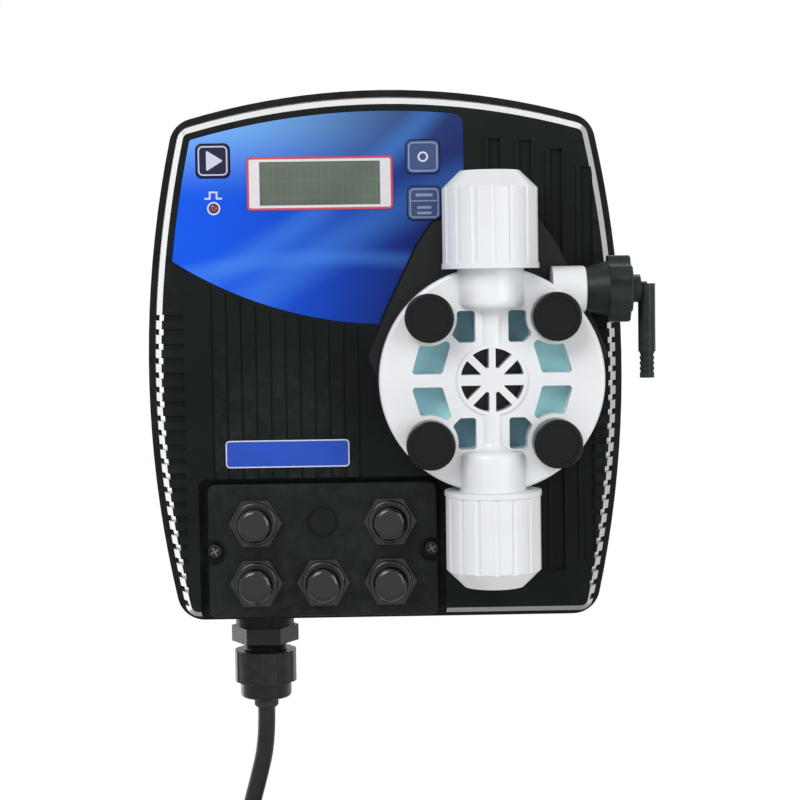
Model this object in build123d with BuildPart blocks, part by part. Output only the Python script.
"""Solenoid diaphragm metering pump in a wall-hung plastic casing.

The frame: +Z is up, the front faces -Y and +X is to the right as seen from the front. The origin is the
middle of the four screw holes of the wall bracket, on the wall plane, so the whole pump has y <= 0.
A "depth" is the distance in front of the wall, so a point at depth d has y = -d. All sizes are in mm.
"""

import os
from math import pi, radians, tan

from build123d import *

os.makedirs("parts", exist_ok=True)

# ---------------------------------------------------------------- driving dimensions
# Casing outline: two side arcs, a crown and a flat foot
half_width = 93.8
side_radius = 424.0
bulge_z = -6.0
casing_top = 104.8
crown_radius = 280.0
casing_foot = -104.2
corner_radius = 11.0
least_corner = 1.5

# Depths of the casing, from the wall
back_depth = 8.0
rim_rear_depth = 49.0
rim_depth = 56.0
shoulder_drop = 6.0
face_depth = 86.0

# Insets of the casing's faces from the rim's outline
tub_back_inset = 7.0
tub_front_inset = 2.0
wall_foot_inset = 2.6
shoulder_inset = 5.6
face_inset = 8.3
casing_wall = 3.0

# Clearances
slip = 0.3
running = 0.05
seat_gap = 0.05

# Wall bracket
bracket_half_width = 60.0
bracket_block_half_width = 50.0
bracket_half_height = 40.0
bracket_lift = 3.0
wall_hole_radius = 3.25
wall_hole_spacing_x = 76.0
wall_hole_spacing_z = 54.0
wall_screw_head_radius = 6.2
wall_screw_head_depth = 3.4
rail_width = 3.0
stop_height = 4.0

# Casing joint
gasket_width = 1.8
gasket_height = 1.6
case_screw_radius = 1.9
case_screw_head_radius = 3.6
case_screw_head_height = 2.4
case_screw_inset = 19.8
case_screw_top_z = 40.0
case_screw_low_z = -58.0
case_screw_sink = 36.0
case_screw_grip = 14.0
case_boss_radius = 5.0

# Keypad panel
panel_margin = 2.6
panel_right = 30.4
panel_corner = 4.0
panel_gap = 0.8
panel_thickness = 0.8
panel_proud = 0.2
panel_sweep_radius = 155.0
panel_sweep_x = 4.0
panel_sweep_z = 13.2
display_x = -24.1
display_z = 67.0
display_width = 54.4
display_height = 19.2
display_proud = 0.35
glass_width = 45.6
glass_height = 16.4
glass_sink = 0.5
key_size = 12.6
key_corner = 2.2
key_travel = 0.4
key_proud = 0.55
key_flange = 1.2
key_flange_height = 1.0
key_edge = 0.6
play_key_x, play_key_z = -64.4, 75.9
esc_key_x, esc_key_z = 15.0, 76.4
enter_key_x, enter_key_z = 15.3, 58.9
lamp_x, lamp_z = -64.4, 58.0
lamp_radius = 1.6
lamp_proud = 0.5
board_drop = 14.0
board_thickness = 1.6
board_left, board_right = -71.0, 24.0
board_low, board_high = 47.0, 81.5
board_post_xs = (-53.0, 3.5)
board_post_zs = (50.0, 78.5)
board_post_radius = 2.6
switch_size = 6.0

# Ribs and grooves of the front cover
groove_first_x = -66.1
groove_pitch = 5.57
groove_count = 11
groove_width = 0.9
groove_depth = 0.6
groove_top_gap = 1.6
fin_first_x = 39.0
fin_pitch = 11.6
fin_tops = (83.0, 82.2, 78.8, 72.0)
fin_feet = (-82.0, -82.0, -82.0, -77.8)
fin_width = 1.7
fin_proud = 0.6
fin_channel_width = 4.6
fin_channel_depth = 1.5
louvre_pitch = 5.5
louvre_count = 21
louvre_top_z = 17.0
louvre_width = 2.2
louvre_depth = 1.1
louvre_reach = 16.8
louvre_rear_depth = 64.0

# Terminal cover and its sealing plugs
bay_left, bay_right = -72.4, 21.9
bay_top = -44.9
bay_corner = 3.0
bay_sink = 6.5
bay_floor = 3.0
terminal_gap_side = 3.0
terminal_gap_top = 2.2
terminal_foot = -98.4
terminal_set_back = 1.2
terminal_corner = 3.2
notch_radius = 4.8
notch_inboard = 2.4
terminal_screw_z = -73.2
terminal_screw_radius = 3.0
terminal_screw_head = 1.8
terminal_ledge = 1.6
terminal_wall = 2.0
terminal_edge = 0.8
plug_pitch_x = 25.7
plug_pitch_z = 23.1
plug_centre_z = -73.6
plug_shank_radius = 6.5
plug_shank_length = 4.9
plug_hex_flats = 17.6
plug_hex_height = 2.6
plug_ring_radius = 8.3
plug_ring_height = 1.6
plug_dome_radius = 6.7
plug_dome_height = 7.0
plug_dome_round = 2.6
blank_radius = 6.0
blank_groove = 1.1
blank_groove_depth = 0.8

# Cable gland, on the underside of the rear case
gland_x = -50.4
gland_depth = 45.0
port_radius = 11.75
port_foot = -108.4
gland_hex_flats = 23.4
gland_hex_height = 6.4
gland_thread_radius = 8.35
gland_neck = 3.6
gland_shank = 11.0
gland_thread_length = 11.2
gland_bore = 5.0
gland_nut_radius = 12.35
gland_nut_skirt = 12.7
gland_nut_dome = 6.6
gland_dome_radius = 10.25
gland_mouth_radius = 5.9
gland_flutes = 12
gland_flute_radius = 1.6
gland_flute_depth = 0.5
gland_dome_round = 1.6
seal_radius = 4.85
seal_flange_radius = 7.6
seal_flange_height = 1.2
seal_end_radius = 4.0
seal_reach = 4.3

# Mains lead, its coil and its plug
lead_radius = 3.5
lead_pitch = 7.0
coil_x = -18.5
coil_z = -230.0
coil_layers = (32.5, 39.5)
coil_rows = 3
coil_looseness = 0.3
coil_stub = 34.0
coil_tail = 52.0
tie_width = 10.0
tie_thickness = 1.4
plug_body_radius = 18.5
plug_body_length = 14.0
plug_grip_length = 24.0
plug_grip_radius = 8.5
plug_relief_length = 20.0
plug_relief_radius = 4.4
plug_taper = 1.6
pin_radius = 2.4
pin_length = 19.0
pin_spacing = 19.0

# Pump head
head_x = 38.8
head_z = -7.3
head_radius = 41.8
head_thickness = 12.0
head_edge = 1.4
pad_height = 0.8
head_plate_rise = 6.5
head_plate_radius = 42.4
lobe_plate_thickness = 2.2
lobe_corner = 3.5
head_flat_z = 40.7
chamber_plate_radius = 40.6
chamber_plate_thickness = 6.5
screw_pitch = 46.4
head_screw_radius = 2.5
head_screw_clearance = 0.25
head_screw_head_radius = 4.6
head_screw_head_height = 4.8
screw_engagement = 5.0
cap_radius = 8.95
cap_height = 11.0
cap_rim = 1.7
cap_dish = 0.8
cap_bore_clearance = 0.4
cap_edge = 0.7
head_screw_edge = 0.5
hub_ring_radius = 11.75
hub_radius = 4.8
hub_ring_width = 2.6
hub_proud = 0.8
spoke_upright = 2.4
spoke_level = 3.9
spoke_slanted = 2.8
channel_radius = 6.1
channel_rise = 7.0
channel_bore = 2.0
port_z = 14.0
window_near, window_far = 14.8, 29.8
window_low, window_high = 2.4, 14.6
window_lean = 3.6
window_web = 1.5
window_corner = 1.2
slot_near, slot_far = 6.1, 15.6
slot_low, slot_high = 13.9, 25.6

# Diaphragm and its drive
diaphragm_radius = 21.6
diaphragm_thickness = 1.6
diaphragm_rim_radius = 28.0
diaphragm_rim_width = 6.0
diaphragm_rim_height = 2.5
diaphragm_set_back = 3.3
diaphragm_hub_height = 1.2
diaphragm_hub_radius = 8.0
diaphragm_room = 0.8
chamber_radius = 22.3
chamber_height = 3.2
stroke = 1.2
shaft_radius = 4.0
bush_radius = 8.0
bush_flange_radius = 9.6
bush_flange_height = 1.2
bush_set_back = 0.5
frame_flange_half = 31.0
frame_flange_corner = 8.0
frame_flange_thickness = 6.0
frame_can_radius = 27.0
frame_can_length = 41.0
frame_wall = 3.0
solenoid_bore_radius = 12.0
solenoid_length = 32.0
stop_radius = 8.0
armature_radius = 11.0
armature_set_back = 40.0
armature_length = 20.0
armature_edge = 0.5
spring_radius = 6.4
spring_wire = 0.8
spring_turns = 3
spring_margin = 0.3

# Valves, union nuts and hose sockets
valve_rise = 8.5
neck_radius = 12.4
neck_start = 26.0
neck_edge = 3.0
nut_start = 41.0
nut_length = 35.8
nut_radius = 17.6
nut_flare = 0.4
nut_flare_length = 1.8
nut_step_radius = 15.4
nut_end_radius = 11.1
nut_chamfer = 4.2
nut_step = 2.2
nut_grooves = 16
nut_groove_radius = 1.5
nut_groove_depth = 0.5
thread_radius = 12.2
thread_length = 18.0
hose_radius = 6.1
hose_socket = 12.0
ferrule_bore = 3.0
cartridge_radius = 7.5
cartridge_length = 15.0
seat_height = 5.0
valve_bore = 2.2
ball_radius = 3.2
ball_play = 0.5
ball_lift = 1.2
cone_radius = 3.6

# Bleed valve and its hose tail
bleed_z = 25.6
bleed_duct = 1.3
bleed_collar_radius = 8.7
bleed_sink = 0.4
bleed_collar_x = 61.8
bleed_face_x = 74.5
bleed_stem_radius = 2.5
bleed_stem_x = 58.0
knob_neck_radius = 8.2
knob_cone_radius = 10.4
knob_x = 82.5
knob_end_x = 90.9
knob_radius = 12.4
knob_lobes = 6
knob_scallop_radius = 5.2
knob_scallop_depth = 1.9
knob_edge = 1.0
swivel_radius = 2.6
swivel_x = 84.0
elbow_collar_radius = 5.2
elbow_collar_x = 91.4
elbow_collar_end_x = 94.6
elbow_x = 97.2
elbow_radius = 3.2
tail_radius = 2.7
tail_shoulder = 2.0
tail_foot = -7.7
tail_top = 27.4
tail_bore = 1.7
ridge_count = 4
ridge_pitch = 2.0
ridge_groove = 0.8
ridge_depth = 0.3
tail_ridges = 3


# ---------------------------------------------------------------- helpers
def facing(depth, x=0.0, z=0.0):
    """A plane parallel to the wall at a depth: local X is +X, local Y is +Z, and extrusions come forward."""
    return Plane(origin=(x, -depth, z), x_dir=(1, 0, 0), z_dir=(0, -1, 0))


def upright(x, depth, z):
    """A level plane whose normal is +Z."""
    return Plane(origin=(x, -depth, z), x_dir=(1, 0, 0), z_dir=(0, 0, 1))


def sideways(x, depth, z):
    """A plane whose normal is +X: local X is +Y and local Y is +Z."""
    return Plane(origin=(x, -depth, z), x_dir=(0, 1, 0), z_dir=(1, 0, 0))


def lengthwise(x, z):
    """A level plane for profiles turned about a forward axis: local X is the radius and local Y is the depth."""
    return Plane(origin=(x, 0, z), x_dir=(1, 0, 0), z_dir=(0, 0, -1))


def rod(plane, radius, length, mode=Mode.ADD):
    """A round bar that starts on a plane and runs along its normal, in the current part."""
    with Locations(plane):
        Cylinder(radius, length, align=(Align.CENTER, Align.CENTER, Align.MIN), mode=mode)


def slab(left, right, low, high):
    """A rectangle between two X and two Z values, in the current sketch."""
    with Locations(((left + right) / 2, (low + high) / 2)):
        Rectangle(right - left, high - low)


def profile(*points):
    """A closed straight-sided face, in the current sketch."""
    with BuildLine(mode=Mode.PRIVATE) as drawn:
        Polyline(*points, close=True)
    make_face(drawn.edges())


def outline(inset):
    """The casing's outline moved inwards by inset: two side arcs, a crown and a flat foot."""
    with BuildSketch(mode=Mode.PRIVATE) as drawn:
        with Locations((0, casing_foot + inset)):
            Rectangle(3 * half_width, casing_top - casing_foot, align=(Align.CENTER, Align.MIN))
        for side in (-1, 1):
            with Locations((side * (half_width - side_radius), bulge_z)):
                Circle(side_radius - inset, mode=Mode.INTERSECT)
        with Locations((0, casing_top - crown_radius)):
            Circle(crown_radius - inset, mode=Mode.INTERSECT)
        fillet(vertices(), max(corner_radius - inset, least_corner))
    return drawn.sketch_local


def casing_loft(sections, mode=Mode.ADD):
    """A ruled loft through casing outlines, each given as its depth and inset, in the current part."""
    loft([facing(depth) * outline(inset).face() for depth, inset in sections], ruled=True, mode=mode)


def panel_outline(grow=0.0):
    """The keypad panel's outline: it follows the casing above, stops at its right edge and sweeps up to the left."""
    with BuildSketch(mode=Mode.PRIVATE) as drawn:
        add(outline(face_inset + panel_margin - grow))
        with Locations((panel_right + grow - 3 * half_width / 2, 0)):
            Rectangle(3 * half_width, 3 * half_width, mode=Mode.INTERSECT)
        with Locations((panel_sweep_x, panel_sweep_z + panel_sweep_radius)):
            Circle(panel_sweep_radius + grow, mode=Mode.INTERSECT)
        fillet(vertices().group_by(Axis.X)[-1].sort_by(Axis.Y)[-1], panel_corner + grow)
        with Locations((head_x, head_z)):
            add(offset(head_lobe(), amount=panel_gap - grow, mode=Mode.PRIVATE), mode=Mode.SUBTRACT)
    return drawn.sketch_local


def head_lobe():
    """The backing plate's outline about the head's axis: a disc with a lobe behind the upper nut and two ears."""
    half = ((20.0, 59.5), (26.2, 50.5), (38.6, 25.0), (45.6, 8.5), (41.0, -3.0))
    with BuildSketch(mode=Mode.PRIVATE) as drawn:
        profile(*half, *[(-x, z) for x, z in reversed(half)])
        fillet(vertices().filter_by(lambda v: v.Y > 0), lobe_corner)
        Circle(head_plate_radius)
    return drawn.sketch_local


def save(piece, name):
    """Label a finished piece and write it as its node."""
    piece.part.label = name
    export_step(piece.part, f"parts/{name}.step")


# ---------------------------------------------------------------- places shared by several pieces
shoulder_depth = face_depth - shoulder_drop
inner_face_depth = face_depth - casing_wall
bay_floor_depth = face_depth - bay_sink
terminal_face_depth = face_depth - terminal_set_back
board_depth = face_depth - board_drop
case_screw_x = half_width - case_screw_inset
louvre_inner_x = half_width - louvre_reach
head_plate_depth = face_depth + head_plate_rise
chamber_front_depth = head_plate_depth + chamber_plate_thickness
head_front_depth = chamber_front_depth + head_thickness
channel_depth = chamber_front_depth + channel_rise
valve_depth = chamber_front_depth + valve_rise
diaphragm_rear_depth = head_plate_depth - diaphragm_set_back
bush_front_depth = face_depth - bush_set_back
armature_rear_depth = face_depth - armature_set_back
head_seat_depth = face_depth + pad_height
panel_front_depth = face_depth + panel_proud
panel_back_depth = panel_front_depth - panel_thickness
display_front_depth = panel_front_depth + display_proud
glass_front_depth = display_front_depth - glass_sink
key_front_depth = panel_front_depth + key_proud
board_front_depth = board_depth + board_thickness
gasket_inset = wall_foot_inset + (casing_wall - gasket_width) / 2
terminal_left, terminal_right = bay_left + terminal_gap_side, bay_right - terminal_gap_side
terminal_top = bay_top - terminal_gap_top
terminal_x = (terminal_left + terminal_right) / 2
notch_xs = (terminal_left + notch_inboard, terminal_right - notch_inboard)
ledge_depth = bay_floor_depth + terminal_ledge
blank_place = (terminal_x, plug_centre_z + plug_pitch_z / 2)
plug_columns = ((-1, 1), (1, 1), (-1, -1), (0, -1), (1, -1))
plug_places = [(terminal_x + dx * plug_pitch_x, plug_centre_z + dz * plug_pitch_z / 2) for dx, dz in plug_columns]
case_screw_places = [(dx * case_screw_x, z) for z in (case_screw_top_z, case_screw_low_z) for dx in (-1, 1)]
head_screw_places = [(dx * screw_pitch / 2, dz * screw_pitch / 2) for dz in (1, -1) for dx in (-1, 1)]
fin_places = [(fin_first_x + n * fin_pitch, fin_feet[n], fin_tops[n]) for n in range(len(fin_tops))]
bleed_depth = head_front_depth - bleed_sink - bleed_collar_radius
frame_front_depth = inner_face_depth
frame_rear_depth = frame_front_depth - frame_flange_thickness - frame_can_length
frame_floor_depth = frame_rear_depth + frame_wall
can_front_depth = frame_front_depth - frame_flange_thickness - frame_wall
armature_front_depth = armature_rear_depth + armature_length
nut_end = nut_start + nut_length
key_places = {
    "play_key": (play_key_x, play_key_z),
    "esc_key": (esc_key_x, esc_key_z),
    "enter_key": (enter_key_x, enter_key_z),
}

# ---------------------------------------------------------------- wall bracket
# A flat block that is screwed to the wall. Its two edges stand off the wall for the casing's rails.
bracket_front_depth = back_depth - slip
with BuildPart() as wall_bracket:
    with BuildSketch(facing(0)):
        Rectangle(2 * bracket_block_half_width, 2 * bracket_half_height)
    extrude(amount=bracket_front_depth)
    with BuildSketch(facing(bracket_lift)):
        Rectangle(2 * bracket_half_width, 2 * bracket_half_height)
    extrude(amount=bracket_front_depth - bracket_lift)
    with Locations(facing(bracket_front_depth)):
        with GridLocations(wall_hole_spacing_x, wall_hole_spacing_z, 2, 2):
            CounterBoreHole(wall_hole_radius, wall_screw_head_radius, wall_screw_head_depth)
save(wall_bracket, "wall_bracket")

# ---------------------------------------------------------------- rear case
# A tub with draft and a thicker rim at its mouth, hooked on the bracket by two rails and a stop.
rail_inner = bracket_half_width + slip
rail_outer = rail_inner + rail_width
rail_top = bracket_half_height + stop_height
lip_inner = bracket_block_half_width + slip
with BuildPart() as rear_case:
    casing_loft(((back_depth, tub_back_inset), (rim_rear_depth, tub_front_inset)))
    with BuildSketch(facing(rim_rear_depth)):
        add(outline(0))
    extrude(amount=rim_depth - rim_rear_depth)
    with BuildSketch(upright(gland_x, gland_depth, port_foot)):
        Circle(port_radius)
        with Locations((0, gland_depth - rim_depth)):
            Rectangle(2 * port_radius, 2 * port_radius, align=(Align.CENTER, Align.MIN), mode=Mode.INTERSECT)
    extrude(amount=casing_foot + 2 * casing_wall - port_foot)
    casing_loft(
        ((back_depth + casing_wall, tub_back_inset + casing_wall), (rim_depth, wall_foot_inset + casing_wall)),
        mode=Mode.SUBTRACT,
    )
    # gasket groove
    with BuildSketch(facing(rim_depth)):
        add(outline(gasket_inset))
        add(outline(gasket_inset + gasket_width), mode=Mode.SUBTRACT)
    extrude(amount=-gasket_height, mode=Mode.SUBTRACT)
    # pillars of the casing screws, sunk from the back
    for x, z in case_screw_places:
        rod(facing(back_depth + casing_wall / 2, x, z), case_boss_radius, rim_depth - back_depth - casing_wall / 2)
        rod(facing(back_depth, x, z), case_screw_head_radius + slip, case_screw_sink, Mode.SUBTRACT)
        rod(facing(back_depth, x, z), case_screw_radius + slip, rim_depth - back_depth, Mode.SUBTRACT)
    # rails and stop
    with BuildSketch(facing(slip)):
        for side in (-1, 1):
            slab(*sorted((side * rail_inner, side * rail_outer)), -bracket_half_height, rail_top)
        slab(-rail_outer, rail_outer, bracket_half_height, rail_top)
    extrude(amount=back_depth + casing_wall / 2 - slip)
    with BuildSketch(facing(slip)):
        for side in (-1, 1):
            slab(*sorted((side * lip_inner, side * rail_outer)), -bracket_half_height, bracket_half_height)
    extrude(amount=bracket_lift - 2 * slip)
    # thread of the gland
    rod(upright(gland_x, gland_depth, port_foot), gland_thread_radius + running, 4 * casing_wall, Mode.SUBTRACT)
save(rear_case, "rear_case")

with BuildPart() as case_gasket:
    with BuildSketch(facing(rim_depth)):
        add(outline(gasket_inset + running))
        add(outline(gasket_inset + gasket_width - running), mode=Mode.SUBTRACT)
    extrude(amount=-gasket_height)
save(case_gasket, "case_gasket")

# ---------------------------------------------------------------- front cover
# A drafted, bevelled shell with a keypad recess, ribs, flank louvres and the bay of the terminal cover.
cover_sections = ((rim_depth, wall_foot_inset), (shoulder_depth, shoulder_inset), (face_depth, face_inset))
with BuildPart() as cover_form:
    casing_loft(cover_sections)

with BuildPart() as bay_tray:
    add(cover_form.part)
    with BuildSketch(facing(bay_floor_depth - bay_floor)):
        slab(bay_left - casing_wall, bay_right + casing_wall, casing_foot, bay_top + casing_wall)
    extrude(amount=face_depth, mode=Mode.INTERSECT)

# the louvres are bars that stop at a smaller copy of the cover, so each one is equally deep on flank and face
with BuildPart() as louvre_cutters:
    for row in range(louvre_count):
        z = louvre_top_z - row * louvre_pitch
        with BuildSketch(facing(louvre_rear_depth)):
            for side in (-1, 1):
                ends = sorted((side * louvre_inner_x, side * (half_width + slip)))
                slab(*ends, z - louvre_width / 2, z + louvre_width / 2)
        extrude(amount=face_depth + slip - louvre_rear_depth)
    casing_loft(
        (
            (rim_depth, wall_foot_inset + louvre_depth),
            (shoulder_depth - louvre_depth / 2, shoulder_inset + louvre_depth),
            (face_depth - louvre_depth, face_inset + louvre_depth / 2),
        ),
        mode=Mode.SUBTRACT,
    )

with BuildPart() as front_cover:
    casing_loft(cover_sections)
    casing_loft(
        (
            (rim_depth, wall_foot_inset + casing_wall),
            (shoulder_depth, shoulder_inset + casing_wall),
            (inner_face_depth, face_inset + casing_wall / 2),
        ),
        mode=Mode.SUBTRACT,
    )
    # pillars of the casing screws, posts of the board
    for x, z in case_screw_places:
        rod(facing(rim_depth, x, z), case_boss_radius, inner_face_depth - rim_depth + casing_wall / 2)
        rod(facing(rim_depth, x, z), case_screw_radius + running, case_screw_grip, Mode.SUBTRACT)
    with BuildSketch(facing(board_front_depth)):
        for x in board_post_xs:
            with Locations(*[(x, z) for z in board_post_zs]):
                Circle(board_post_radius)
    extrude(amount=inner_face_depth - board_front_depth + casing_wall / 2)
    # bay of the terminal cover, open at the foot
    add(bay_tray.part)
    with BuildSketch(facing(bay_floor_depth)):
        slab(bay_left, bay_right, casing_foot - casing_wall, bay_top)
        fillet(vertices().group_by(Axis.Y)[-1], bay_corner)
    extrude(amount=face_depth, mode=Mode.SUBTRACT)
    for x in notch_xs:
        rod(facing(bay_floor_depth - bay_floor, x, terminal_screw_z), terminal_screw_radius / 2 + running,
            bay_floor, Mode.SUBTRACT)
    # long ribs with a channel beside each, and the flank louvres
    with BuildSketch(facing(face_depth)):
        for x, foot, top in fin_places:
            slab(x + fin_width / 2, x + fin_width / 2 + fin_channel_width, foot, top)
    extrude(amount=-fin_channel_depth, mode=Mode.SUBTRACT)
    with BuildSketch(facing(face_depth)):
        for x, foot, top in fin_places:
            slab(x - fin_width / 2, x + fin_width / 2, foot, top)
    extrude(amount=fin_proud)
    add(louvre_cutters.part, mode=Mode.SUBTRACT)
    # seat of the pump head
    with BuildSketch(facing(face_depth - casing_wall / 2, head_x, head_z)):
        add(head_lobe())
    extrude(amount=casing_wall / 2 + pad_height)
    rod(facing(inner_face_depth, head_x, head_z), bush_radius + slip, casing_wall + pad_height, Mode.SUBTRACT)
    with Locations(facing(inner_face_depth, head_x, head_z)):
        with GridLocations(screw_pitch, screw_pitch, 2, 2):
            Cylinder(head_screw_radius + head_screw_clearance, 2 * (casing_wall + pad_height), mode=Mode.SUBTRACT)
    # recess of the keypad panel with its window, key holes and lamp hole
    with BuildSketch(facing(panel_back_depth)):
        add(panel_outline(slip / 2))
    extrude(amount=panel_thickness, mode=Mode.SUBTRACT)
    with BuildSketch(facing(inner_face_depth)):
        with Locations((display_x, display_z)):
            Rectangle(glass_width, glass_height)
        with Locations(*key_places.values()):
            RectangleRounded(key_size + 2 * slip, key_size + 2 * slip, key_corner + slip)
        with Locations((lamp_x, lamp_z)):
            Circle(lamp_radius + slip / 2)
    extrude(amount=casing_wall, mode=Mode.SUBTRACT)
    # fine grooves between the panel and the bay
    with BuildSketch(facing(face_depth)):
        for column in range(groove_count):
            x = groove_first_x + column * groove_pitch
            drop = panel_sweep_radius - (panel_sweep_radius**2 - (x - panel_sweep_x) ** 2) ** 0.5
            slab(x - groove_width / 2, x + groove_width / 2, bay_top, panel_sweep_z + drop - groove_top_gap)
    extrude(amount=-groove_depth, mode=Mode.SUBTRACT)
save(front_cover, "front_cover")

with BuildPart() as case_screws:
    for x, z in case_screw_places:
        seat_depth = back_depth + case_screw_sink
        rod(facing(seat_depth - case_screw_head_height, x, z), case_screw_head_radius, case_screw_head_height)
        rod(facing(seat_depth, x, z), case_screw_radius, rim_depth + case_screw_grip - slip - seat_depth)
save(case_screws, "case_screws")

# ---------------------------------------------------------------- keypad
with BuildPart() as keypad_panel:
    with BuildSketch(facing(panel_back_depth)):
        add(panel_outline())
        with Locations((display_x, display_z)):
            Rectangle(display_width, display_height, mode=Mode.SUBTRACT)
        with Locations(*key_places.values()):
            RectangleRounded(key_size + 2 * slip, key_size + 2 * slip, key_corner + slip, mode=Mode.SUBTRACT)
        with Locations((lamp_x, lamp_z)):
            Circle(lamp_radius + slip / 2, mode=Mode.SUBTRACT)
    extrude(amount=panel_thickness)
save(keypad_panel, "keypad_panel")

with BuildPart() as display_frame:
    with BuildSketch(facing(panel_back_depth)):
        with Locations((display_x, display_z)):
            Rectangle(display_width, display_height)
            Rectangle(glass_width, glass_height, mode=Mode.SUBTRACT)
    extrude(amount=display_front_depth - panel_back_depth)
    front_edges = faces().sort_by(Axis.Y)[0].outer_wire().edges()
    chamfer(front_edges, display_proud / 2)
save(display_frame, "display_frame")

with BuildPart() as display_glass:
    with BuildSketch(facing(board_front_depth)):
        with Locations((display_x, display_z)):
            Rectangle(glass_width - 2 * running, glass_height - 2 * running)
    extrude(amount=glass_front_depth - board_front_depth)
save(display_glass, "display_glass")

# each key has a flange that the cover holds back, and moves inwards by the travel of its switch
key_flange_depth = inner_face_depth - key_flange_height - seat_gap
for name, (x, z) in key_places.items():
    with BuildPart() as key:
        with BuildSketch(facing(key_flange_depth, x, z)):
            Rectangle(key_size + 2 * key_flange, key_size + 2 * key_flange)
        extrude(amount=key_flange_height)
        with BuildSketch(facing(key_flange_depth, x, z)):
            RectangleRounded(key_size, key_size, key_corner)
        extrude(amount=key_front_depth - key_flange_depth)
        fillet(faces().sort_by(Axis.Y)[0].edges(), key_edge)
    save(key, name)

with BuildPart() as alarm_lamp:
    rod(facing(board_front_depth, lamp_x, lamp_z), lamp_radius, panel_front_depth + lamp_proud - board_front_depth)
    fillet(faces().sort_by(Axis.Y)[0].edges(), lamp_radius / 2)
save(alarm_lamp, "alarm_lamp")

switch_height = key_flange_depth - key_travel - seat_gap - board_front_depth
with BuildPart() as control_board:
    with BuildSketch(facing(board_depth)):
        slab(board_left, board_right, board_low, board_high)
    extrude(amount=board_thickness)
    with BuildSketch(facing(board_front_depth)):
        with Locations(*key_places.values()):
            Rectangle(switch_size, switch_size)
    extrude(amount=switch_height)
save(control_board, "control_board")

# ---------------------------------------------------------------- terminal cover
# A hollow lid in the bay, with notches for its two screws and five sealed outlets.
with BuildPart() as terminal_cover:
    with BuildSketch(facing(bay_floor_depth)):
        slab(terminal_left, terminal_right, terminal_foot, terminal_top)
        fillet(vertices(), terminal_corner)
    extrude(amount=terminal_face_depth - bay_floor_depth)
    fillet(faces().sort_by(Axis.Y)[0].edges(), terminal_edge)
    with BuildSketch(facing(bay_floor_depth)):
        slab(terminal_left + terminal_wall, terminal_right - terminal_wall,
             terminal_foot + terminal_wall, terminal_top - terminal_wall)
        with Locations(*plug_places):
            Circle(plug_shank_radius + terminal_wall, mode=Mode.SUBTRACT)
        with Locations(*[(x, terminal_screw_z) for x in notch_xs]):
            Circle(notch_radius + terminal_wall, mode=Mode.SUBTRACT)
    extrude(amount=terminal_face_depth - terminal_wall - bay_floor_depth, mode=Mode.SUBTRACT)
    for x in notch_xs:
        rod(facing(ledge_depth, x, terminal_screw_z), notch_radius, terminal_face_depth, Mode.SUBTRACT)
        rod(facing(bay_floor_depth, x, terminal_screw_z), terminal_screw_radius / 2 + running,
            terminal_ledge, Mode.SUBTRACT)
    for x, z in plug_places:
        rod(facing(bay_floor_depth, x, z), plug_shank_radius + running, terminal_face_depth, Mode.SUBTRACT)
    with BuildSketch(facing(terminal_face_depth, *blank_place)):
        Circle(blank_radius)
        Circle(blank_radius - blank_groove, mode=Mode.SUBTRACT)
    extrude(amount=-blank_groove_depth, mode=Mode.SUBTRACT)
save(terminal_cover, "terminal_cover")

with BuildPart() as terminal_screws:
    for x in notch_xs:
        screw_foot = bay_floor_depth - bay_floor
        rod(facing(screw_foot, x, terminal_screw_z), terminal_screw_radius / 2, ledge_depth - screw_foot)
        rod(facing(ledge_depth, x, terminal_screw_z), terminal_screw_radius, terminal_screw_head)
    fillet(edges().group_by(Axis.Y)[0], terminal_screw_head / 3)
save(terminal_screws, "terminal_screws")

for number, (x, z) in enumerate(plug_places, 1):
    with BuildPart() as connector_plug:
        rod(facing(terminal_face_depth - plug_shank_length, x, z), plug_shank_radius, plug_shank_length)
        with BuildSketch(facing(terminal_face_depth, x, z)):
            RegularPolygon(plug_hex_flats / 2, 6, major_radius=False)
        extrude(amount=plug_hex_height)
        rod(facing(terminal_face_depth + plug_hex_height, x, z), plug_ring_radius, plug_ring_height)
        fillet(edges().group_by(Axis.Y)[0], plug_ring_height / 2)
        rod(facing(terminal_face_depth + plug_hex_height + plug_ring_height, x, z),
            plug_dome_radius, plug_dome_height)
        fillet(edges().group_by(Axis.Y)[0], plug_dome_round)
    save(connector_plug, f"connector_plug_{number}")

# ---------------------------------------------------------------- cable gland
gland_hex_foot = port_foot - gland_hex_height
gland_thread_foot = gland_hex_foot - gland_thread_length
nut_top = gland_hex_foot - gland_neck
nut_skirt_foot = nut_top - gland_nut_skirt
nut_foot = nut_skirt_foot - gland_nut_dome
seal_foot = nut_foot - seal_reach
with BuildPart() as gland_body:
    with BuildSketch(upright(gland_x, gland_depth, gland_hex_foot)):
        RegularPolygon(gland_hex_flats / 2, 6, major_radius=False)
    extrude(amount=gland_hex_height)
    rod(upright(gland_x, gland_depth, gland_thread_foot), gland_thread_radius,
        port_foot + gland_shank - gland_thread_foot)
    rod(upright(gland_x, gland_depth, gland_thread_foot), gland_bore,
        port_foot + gland_shank - gland_thread_foot, Mode.SUBTRACT)
save(gland_body, "gland_body")

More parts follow.
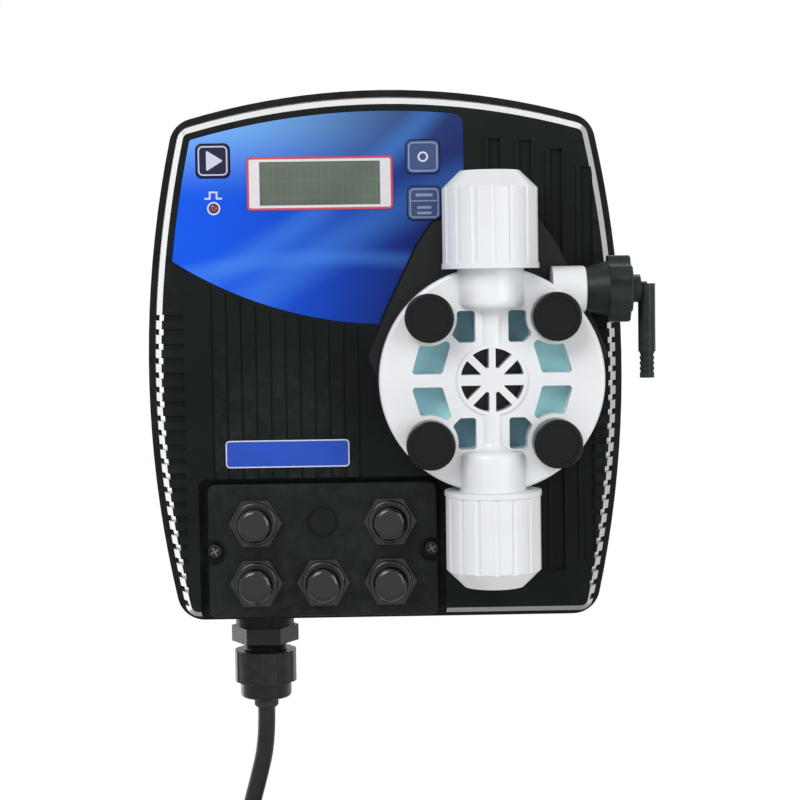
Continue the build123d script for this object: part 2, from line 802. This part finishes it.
with BuildPart() as gland_nut:
    rod(upright(gland_x, gland_depth, nut_skirt_foot), gland_nut_radius, gland_nut_skirt)
    with Locations(upright(gland_x, gland_depth, nut_skirt_foot)):
        with PolarLocations(gland_nut_radius + gland_flute_radius - gland_flute_depth, gland_flutes):
            Cylinder(gland_flute_radius, gland_nut_skirt, align=(Align.CENTER, Align.CENTER, Align.MIN),
                     mode=Mode.SUBTRACT)
    rod(upright(gland_x, gland_depth, nut_foot), gland_dome_radius, gland_nut_dome)
    fillet(edges().group_by(Axis.Z)[0], gland_dome_round)
    rod(upright(gland_x, gland_depth, nut_foot), gland_mouth_radius, nut_top - nut_foot, Mode.SUBTRACT)
    rod(upright(gland_x, gland_depth, gland_thread_foot - seal_flange_height), gland_thread_radius + running,
        nut_top - gland_thread_foot + seal_flange_height, Mode.SUBTRACT)
save(gland_nut, "gland_nut")

with BuildPart() as gland_seal:
    rod(upright(gland_x, gland_depth, gland_thread_foot - seal_flange_height), seal_flange_radius, seal_flange_height)
    rod(upright(gland_x, gland_depth, seal_foot), seal_radius, gland_thread_foot - seal_foot)
    chamfer(edges().group_by(Axis.Z)[0], seal_radius - seal_end_radius)
save(gland_seal, "gland_seal")

# ---------------------------------------------------------------- mains lead
# It leaves the gland straight down and bends a little to the left into the coil.
coil_outer = coil_layers[-1] + lead_radius + coil_looseness
coil_inner = coil_layers[0] - lead_radius - coil_looseness
coil_height = coil_rows * lead_pitch + 2 * coil_looseness
stub_x = coil_x - coil_layers[-1]
stub_top = coil_z + coil_stub
tail_end = coil_z - coil_tail
front_row_depth = gland_depth + lead_pitch
lead_route = [
    (gland_x, -gland_depth, seal_foot),
    (gland_x, -gland_depth, -156.0),
    (-54.0, -gland_depth - 0.6, -171.0),
    (stub_x, -gland_depth, -185.0),
    (stub_x, -gland_depth, stub_top),
]


def bend_radii(route):
    """The largest tangent arcs for a route: 0.45 of the shorter run over the tangent of half the turn."""
    runs = [Vector(*b) - Vector(*a) for a, b in zip(route, route[1:])]
    radii = []
    for before, after in zip(runs, runs[1:]):
        half_turn = radians(before.get_angle(after)) / 2
        radii.append(0.45 * min(before.length, after.length) / tan(half_turn))
    return radii


lead_radii = bend_radii(lead_route)
print("lead bend radii", [round(radius, 1) for radius in lead_radii])
with BuildPart() as power_cable:
    with BuildLine() as lead_path:
        FilletPolyline(*lead_route, radius=lead_radii)
    with BuildSketch(Plane(origin=lead_route[0], z_dir=(0, 0, -1))):
        Circle(lead_radius)
    sweep()
lead_length = lead_path.wires()[0].length
print("lead volume", round(power_cable.part.volume), "of", round(lead_length * pi * lead_radius**2))
save(power_cable, "power_cable")

with BuildPart() as coil_ring:
    with BuildSketch(lengthwise(coil_x, coil_z)):
        with Locations(((coil_inner + coil_outer) / 2, gland_depth)):
            RectangleRounded(coil_outer - coil_inner, coil_height, lead_radius)
    revolve(axis=Axis((coil_x, 0, coil_z), (0, 1, 0)))

with BuildPart() as cable_coil:
    add(coil_ring.part)
    rod(upright(stub_x, gland_depth, coil_z), lead_radius, coil_stub)
    rod(upright(stub_x, front_row_depth, tail_end), lead_radius, coil_tail)
save(cable_coil, "cable_coil")

with BuildPart() as coil_tie:
    with BuildSketch(upright(coil_x, gland_depth, coil_z - tie_width / 2)):
        with Locations(((coil_inner + coil_outer) / 2, 0)):
            RectangleRounded(
                coil_outer - coil_inner + 2 * tie_thickness, coil_height + 2 * tie_thickness, lead_radius)
    extrude(amount=tie_width)
    add(coil_ring.part, mode=Mode.SUBTRACT)
save(coil_tie, "coil_tie")

# a round two-pin plug that hangs at the end of the lead, pins down
relief_foot = tail_end - plug_relief_length
grip_foot = relief_foot - plug_grip_length
plug_foot = grip_foot - plug_body_length
with BuildPart() as mains_plug:
    with BuildSketch(Plane(origin=(stub_x, -front_row_depth, 0), x_dir=(1, 0, 0), z_dir=(0, -1, 0))):
        profile(
            (0, tail_end), (plug_relief_radius, tail_end), (plug_relief_radius + plug_taper, relief_foot),
            (plug_grip_radius, relief_foot), (plug_grip_radius + plug_taper, grip_foot),
            (plug_body_radius, grip_foot - plug_taper), (plug_body_radius, plug_foot), (0, plug_foot),
        )
    revolve(axis=Axis((stub_x, -front_row_depth, 0), (0, 0, 1)))
    with Locations(upright(stub_x, front_row_depth, plug_foot - pin_length)):
        with GridLocations(pin_spacing, 0, 2, 1):
            Cylinder(pin_radius, pin_length, align=(Align.CENTER, Align.CENTER, Align.MIN))
    fillet(edges().group_by(Axis.Z)[0], pin_radius / 2)
save(mains_plug, "mains_plug")

# ---------------------------------------------------------------- solenoid drive
with BuildPart() as solenoid_frame:
    with BuildSketch(facing(frame_front_depth - frame_flange_thickness, head_x, head_z)):
        RectangleRounded(2 * frame_flange_half, 2 * frame_flange_half, frame_flange_corner)
    extrude(amount=frame_flange_thickness)
    rod(facing(frame_rear_depth, head_x, head_z), frame_can_radius, frame_can_length)
    rod(facing(frame_floor_depth, head_x, head_z), frame_can_radius - frame_wall,
        can_front_depth - frame_floor_depth, Mode.SUBTRACT)
    rod(facing(frame_floor_depth, head_x, head_z), stop_radius, armature_rear_depth - seat_gap - frame_floor_depth)
    rod(facing(can_front_depth, head_x, head_z), bush_radius + running, frame_front_depth, Mode.SUBTRACT)
    with Locations(facing(frame_front_depth, head_x, head_z)):
        with GridLocations(screw_pitch, screw_pitch, 2, 2):
            Cylinder(head_screw_radius + running, 2 * frame_flange_thickness, mode=Mode.SUBTRACT)
save(solenoid_frame, "solenoid_frame")

with BuildPart() as solenoid_coil:
    rod(facing(frame_floor_depth, head_x, head_z), frame_can_radius - frame_wall - slip, solenoid_length)
    rod(facing(frame_floor_depth, head_x, head_z), solenoid_bore_radius, solenoid_length, Mode.SUBTRACT)
save(solenoid_coil, "solenoid_coil")

with BuildPart() as armature:
    rod(facing(armature_rear_depth, head_x, head_z), armature_radius, armature_length)
    chamfer(edges(), armature_edge)
    rod(facing(armature_rear_depth, head_x, head_z), shaft_radius, armature_length, Mode.SUBTRACT)
save(armature, "armature")

with BuildPart() as drive_shaft:
    rod(facing(armature_rear_depth, head_x, head_z), shaft_radius, diaphragm_rear_depth - armature_rear_depth)
save(drive_shaft, "drive_shaft")

with BuildPart() as shaft_bush:
    rod(facing(can_front_depth - bush_flange_height, head_x, head_z), bush_flange_radius, bush_flange_height)
    rod(facing(can_front_depth, head_x, head_z), bush_radius, bush_front_depth - can_front_depth)
    rod(facing(can_front_depth - bush_flange_height, head_x, head_z), shaft_radius + running,
        bush_front_depth, Mode.SUBTRACT)
save(shaft_bush, "shaft_bush")

# the spring is short by the stroke, because it is drawn as pressed by the armature at its front end
spring_length = can_front_depth - bush_flange_height - armature_front_depth - stroke - spring_margin
with BuildPart() as return_spring:
    with BuildLine() as spring_path:
        coiled_length = spring_length - spring_wire
        Helix(coiled_length / spring_turns, coiled_length, spring_radius,
              center=(head_x, -armature_front_depth - spring_wire / 2, head_z), direction=(0, -1, 0))
    with BuildSketch(Plane(origin=spring_path.edges()[0] @ 0, z_dir=spring_path.edges()[0] % 0)):
        Circle(spring_wire / 2)
    sweep(is_frenet=True)
save(return_spring, "return_spring")

# ---------------------------------------------------------------- pump head, from the casing outwards
with BuildPart() as head_plate:
    with BuildSketch(facing(head_seat_depth, head_x, head_z)):
        add(head_lobe())
    extrude(amount=lobe_plate_thickness)
    with BuildSketch(facing(head_seat_depth, head_x, head_z)):
        Circle(head_plate_radius)
        Rectangle(2 * head_plate_radius, 2 * head_flat_z, mode=Mode.INTERSECT)
    extrude(amount=head_plate_depth - head_seat_depth)
    cavity_floor = diaphragm_rear_depth - diaphragm_room
    rod(facing(cavity_floor, head_x, head_z), diaphragm_rim_radius - diaphragm_rim_width,
        head_plate_depth - cavity_floor, Mode.SUBTRACT)
    rod(facing(head_plate_depth - diaphragm_rim_height, head_x, head_z), diaphragm_rim_radius + running,
        diaphragm_rim_height, Mode.SUBTRACT)
    rod(facing(head_seat_depth, head_x, head_z), bush_radius + slip, head_plate_depth, Mode.SUBTRACT)
    with Locations(facing(head_seat_depth, head_x, head_z)):
        with GridLocations(screw_pitch, screw_pitch, 2, 2):
            Cylinder(head_screw_radius + head_screw_clearance, head_plate_depth, mode=Mode.SUBTRACT)
save(head_plate, "head_plate")

with BuildPart() as diaphragm_ring:
    rim_rear_face = head_plate_depth - diaphragm_rim_height
    rod(facing(rim_rear_face, head_x, head_z), diaphragm_rim_radius, diaphragm_rim_height)
    rod(facing(rim_rear_face, head_x, head_z), diaphragm_rim_radius - diaphragm_rim_width,
        diaphragm_rim_height, Mode.SUBTRACT)
save(diaphragm_ring, "diaphragm_ring")

with BuildPart() as diaphragm:
    rod(facing(diaphragm_rear_depth, head_x, head_z), diaphragm_hub_radius, diaphragm_hub_height)
    rod(facing(diaphragm_rear_depth + diaphragm_hub_height, head_x, head_z), diaphragm_radius, diaphragm_thickness)
save(diaphragm, "diaphragm")

with BuildPart() as chamber_plate:
    rod(facing(head_plate_depth, head_x, head_z), chamber_plate_radius, chamber_front_depth - head_plate_depth)
    rod(facing(head_plate_depth, head_x, head_z), chamber_radius, chamber_height, Mode.SUBTRACT)
    with Locations(facing(head_plate_depth, head_x, head_z)):
        with GridLocations(screw_pitch, screw_pitch, 2, 2):
            Cylinder(head_screw_radius + head_screw_clearance, head_plate_depth, mode=Mode.SUBTRACT)
        with GridLocations(0, 2 * port_z, 1, 2):
            Cylinder(channel_bore, head_plate_depth, mode=Mode.SUBTRACT)
save(chamber_plate, "chamber_plate")

# a disc with see-through windows, two necks with threaded stubs and the boss of the bleed valve
with BuildPart() as window_cutters:
    with BuildSketch(facing(chamber_front_depth, head_x, head_z)):
        for side in (-1, 1):
            for level in (-1, 1):
                profile(
                    (side * (window_near + window_lean), level * window_low),
                    (side * window_far, level * window_low),
                    (side * (window_far - window_lean), level * window_high),
                    (side * window_near, level * window_high),
                )
        with GridLocations(slot_near + slot_far, slot_low + slot_high, 2, 2):
            Rectangle(slot_far - slot_near, slot_high - slot_low)
        with GridLocations(screw_pitch, screw_pitch, 2, 2):
            Circle(cap_radius + window_web, mode=Mode.SUBTRACT)
        Circle(hub_ring_radius + hub_ring_width, mode=Mode.SUBTRACT)
        for turn in (45, -45):
            Rectangle(2 * head_radius, spoke_slanted, rotation=turn, mode=Mode.SUBTRACT)
        offset(amount=-window_corner, kind=Kind.INTERSECTION)
        offset(amount=window_corner)
        Circle(hub_ring_radius)
        Circle(hub_radius, mode=Mode.SUBTRACT)
        Rectangle(spoke_upright, 2 * hub_ring_radius, mode=Mode.SUBTRACT)
        Rectangle(2 * hub_ring_radius, spoke_level, mode=Mode.SUBTRACT)
        for turn in (45, -45):
            Rectangle(2 * hub_ring_radius, spoke_slanted, rotation=turn, mode=Mode.SUBTRACT)
    extrude(amount=head_front_depth + hub_proud - chamber_front_depth)

with BuildPart() as bleed_collar:
    rod(sideways(bleed_collar_x, bleed_depth, bleed_z), bleed_collar_radius, bleed_face_x - bleed_collar_x)
    fillet(edges().group_by(Axis.X)[-1], head_edge)

stub_end = nut_start + thread_length
cartridge_start = stub_end - cartridge_length
with BuildPart() as pump_head:
    with BuildSketch(facing(chamber_front_depth, head_x, head_z)):
        Circle(head_radius)
        Rectangle(2 * head_radius, 2 * head_flat_z, mode=Mode.INTERSECT)
    extrude(amount=head_front_depth - chamber_front_depth)
    fillet(faces().sort_by(Axis.Y)[0].edges(), head_edge)
    rod(facing(head_front_depth, head_x, head_z), hub_ring_radius + hub_ring_width / 2, hub_proud)
    add(bleed_collar.part)
    for side in (-1, 1):
        lying = Plane(origin=(head_x, -valve_depth, head_z), x_dir=(1, 0, 0), z_dir=(0, 0, side))
        channel = Plane(origin=(head_x, -channel_depth, head_z), x_dir=(1, 0, 0), z_dir=(0, 0, side))
        rod(channel.offset(hub_ring_radius), channel_radius, nut_start - hub_ring_radius - slip)
        rod(lying.offset(neck_start), neck_radius, nut_start - neck_start)
        fillet(edges().filter_by(GeomType.CIRCLE).filter_by_position(
            Axis.Z, *sorted((head_z + side * (neck_start - slip), head_z + side * (neck_start + slip)))), neck_edge)
    rod(facing(head_plate_depth, head_x, head_z), nut_start + slip, chamber_front_depth - head_plate_depth,
        Mode.SUBTRACT)
    add(window_cutters.part, mode=Mode.SUBTRACT)
    with Locations(facing(head_plate_depth, head_x, head_z)):
        with GridLocations(screw_pitch, screw_pitch, 2, 2):
            Cylinder(head_screw_radius + head_screw_clearance, head_plate_depth, mode=Mode.SUBTRACT)
    for side in (-1, 1):
        lying = Plane(origin=(head_x, -valve_depth, head_z), x_dir=(1, 0, 0), z_dir=(0, 0, side))
        rod(lying.offset(nut_start), thread_radius, thread_length)
        rod(lying.offset(cartridge_start), cartridge_radius, cartridge_length, Mode.SUBTRACT)
        rod(lying.offset(port_z), channel_bore, cartridge_start - port_z, Mode.SUBTRACT)
        rod(facing(chamber_front_depth, head_x, head_z + side * port_z), channel_bore,
            valve_depth - chamber_front_depth, Mode.SUBTRACT)
    rod(sideways(bleed_stem_x, bleed_depth, bleed_z), bleed_stem_radius + running,
        bleed_face_x - bleed_stem_x, Mode.SUBTRACT)
    rod(sideways(head_x, bleed_depth, bleed_z), bleed_duct, bleed_stem_x - head_x, Mode.SUBTRACT)
    rod(facing(bleed_depth, head_x, bleed_z), bleed_duct, valve_depth - bleed_depth, Mode.SUBTRACT)
save(pump_head, "pump_head")

# ---------------------------------------------------------------- head screws and their caps
screw_foot_depth = frame_front_depth - screw_engagement
for number, (dx, dz) in enumerate(head_screw_places, 1):
    with BuildPart() as head_screw:
        rod(facing(screw_foot_depth, head_x + dx, head_z + dz), head_screw_radius, head_front_depth - screw_foot_depth)
        rod(facing(head_front_depth, head_x + dx, head_z + dz), head_screw_head_radius, head_screw_head_height)
        fillet(edges().group_by(Axis.Y)[0], head_screw_edge)
    save(head_screw, f"head_screw_{number}")

    with BuildPart() as screw_cap:
        rod(facing(head_front_depth, head_x + dx, head_z + dz), cap_radius, cap_height)
        fillet(edges().group_by(Axis.Y)[0], cap_edge)
        rod(facing(head_front_depth + cap_height - cap_dish, head_x + dx, head_z + dz), cap_radius - cap_rim,
            cap_dish, Mode.SUBTRACT)
        rod(facing(head_front_depth, head_x + dx, head_z + dz), head_screw_head_radius + cap_bore_clearance,
            head_screw_head_height + cap_bore_clearance, Mode.SUBTRACT)
    save(screw_cap, f"screw_cap_{number}")

# ---------------------------------------------------------------- valves
# Each cartridge stands in a threaded stub, seat below and cage above, so both valves open upwards.
cone_height = cone_radius - valve_bore
ball_seated = cone_radius * -1 + ball_radius * 2**0.5
cage_height = cartridge_length - seat_height
cavity_height = ball_seated + seat_gap + ball_radius + ball_lift + slip
cartridge_feet = {"suction": head_z - stub_end, "discharge": head_z + cartridge_start}
for name, foot in cartridge_feet.items():
    seat_top = foot + seat_height
    with BuildPart() as seat:
        rod(upright(head_x, valve_depth, foot), cartridge_radius - running, seat_height)
        rod(upright(head_x, valve_depth, foot), valve_bore, seat_height, Mode.SUBTRACT)
        chamfer(edges().filter_by(GeomType.CIRCLE).group_by(Axis.Z)[-1].sort_by(SortBy.RADIUS)[0], cone_height)
    save(seat, f"{name}_seat")

    with BuildPart() as cage:
        rod(upright(head_x, valve_depth, seat_top), cartridge_radius - running, cage_height)
        rod(upright(head_x, valve_depth, seat_top), ball_radius + ball_play, cavity_height, Mode.SUBTRACT)
        rod(upright(head_x, valve_depth, seat_top), valve_bore, cage_height, Mode.SUBTRACT)
    save(cage, f"{name}_cage")

    with BuildPart() as ball:
        with Locations((head_x, -valve_depth, seat_top + ball_seated + seat_gap)):
            Sphere(ball_radius)
    save(ball, f"{name}_ball")

# ---------------------------------------------------------------- union nuts
for name, side in (("suction_nut", -1), ("discharge_nut", 1)):
    base = Plane(origin=(head_x, -valve_depth, head_z + side * nut_start), x_dir=(1, 0, 0), z_dir=(0, 0, side))
    with BuildPart() as union_nut:
        with BuildSketch(Plane(origin=base.origin, x_dir=(1, 0, 0), z_dir=(0, -side, 0))):
            profile(
                (0, 0), (nut_radius + nut_flare, 0), (nut_radius + nut_flare, nut_flare_length),
                (nut_radius, nut_flare_length + nut_flare), (nut_radius, nut_length - nut_chamfer - nut_step),
                (nut_step_radius, nut_length - nut_chamfer), (nut_end_radius, nut_length), (0, nut_length),
            )
        revolve(axis=Axis(base.origin, (0, 0, side)))
        with Locations(base.offset(nut_flare_length + nut_flare)):
            with PolarLocations(nut_radius + nut_groove_radius - nut_groove_depth, nut_grooves):
                Cylinder(nut_groove_radius, nut_length, align=(Align.CENTER, Align.CENTER, Align.MIN),
                         mode=Mode.SUBTRACT)
        rod(base, thread_radius + running, thread_length, Mode.SUBTRACT)
        rod(base, ferrule_bore, nut_length, Mode.SUBTRACT)
        rod(base.offset(nut_length - hose_socket), hose_radius, hose_socket, Mode.SUBTRACT)
    save(union_nut, name)

# ---------------------------------------------------------------- bleed valve
with BuildPart() as bleed_knob:
    rod(sideways(bleed_stem_x + seat_gap, bleed_depth, bleed_z), bleed_stem_radius, bleed_face_x - bleed_stem_x)
    with BuildSketch(Plane(origin=(bleed_face_x + seat_gap, -bleed_depth, bleed_z), x_dir=(1, 0, 0), z_dir=(0, -1, 0))):
        neck_length = knob_x - bleed_face_x - seat_gap
        profile((0, 0), (0, knob_neck_radius), (neck_length, knob_cone_radius), (neck_length, 0))
    revolve(axis=Axis((bleed_face_x, -bleed_depth, bleed_z), (1, 0, 0)))
    with BuildSketch(sideways(knob_x, bleed_depth, bleed_z)):
        Circle(knob_radius)
        with PolarLocations(knob_radius + knob_scallop_radius - knob_scallop_depth, knob_lobes):
            Circle(knob_scallop_radius, mode=Mode.SUBTRACT)
        fillet(vertices(), knob_edge)
    extrude(amount=knob_end_x - knob_x)
    chamfer(faces().sort_by(Axis.X)[-1].edges(), knob_edge / 2)
    rod(sideways(bleed_stem_x, bleed_depth, bleed_z), bleed_duct, knob_end_x - bleed_stem_x, Mode.SUBTRACT)
    rod(sideways(swivel_x - slip, bleed_depth, bleed_z), swivel_radius + running, knob_end_x - swivel_x + slip,
        Mode.SUBTRACT)
save(bleed_knob, "bleed_knob")

ridge_points = []
for ridge in range(1, ridge_count + 1):
    groove_foot = tail_foot + ridge * ridge_pitch
    groove_top = groove_foot + ridge_groove
    ridge_points += [(tail_radius, groove_foot), (tail_radius - ridge_depth, groove_foot)]
    ridge_points += [(tail_radius - ridge_depth, groove_top), (tail_radius, groove_top)]
with BuildPart() as bleed_elbow:
    with BuildSketch(Plane(origin=(elbow_x, -bleed_depth, 0), x_dir=(1, 0, 0), z_dir=(0, -1, 0))):
        profile(
            (0, tail_foot), (tail_radius, tail_foot), *ridge_points, (tail_radius, tail_shoulder),
            (elbow_radius, tail_shoulder), (elbow_radius, tail_top), (0, tail_top),
        )
    revolve(axis=Axis((elbow_x, -bleed_depth, 0), (0, 0, 1)))
    rod(sideways(swivel_x, bleed_depth, bleed_z), swivel_radius, elbow_x - swivel_x)
    rod(sideways(elbow_collar_x, bleed_depth, bleed_z), elbow_collar_radius, elbow_collar_end_x - elbow_collar_x)
    rod(sideways(swivel_x, bleed_depth, bleed_z), bleed_duct, elbow_x - swivel_x, Mode.SUBTRACT)
    rod(upright(elbow_x, bleed_depth, tail_foot), tail_bore, bleed_z - tail_foot, Mode.SUBTRACT)
save(bleed_elbow, "bleed_elbow")
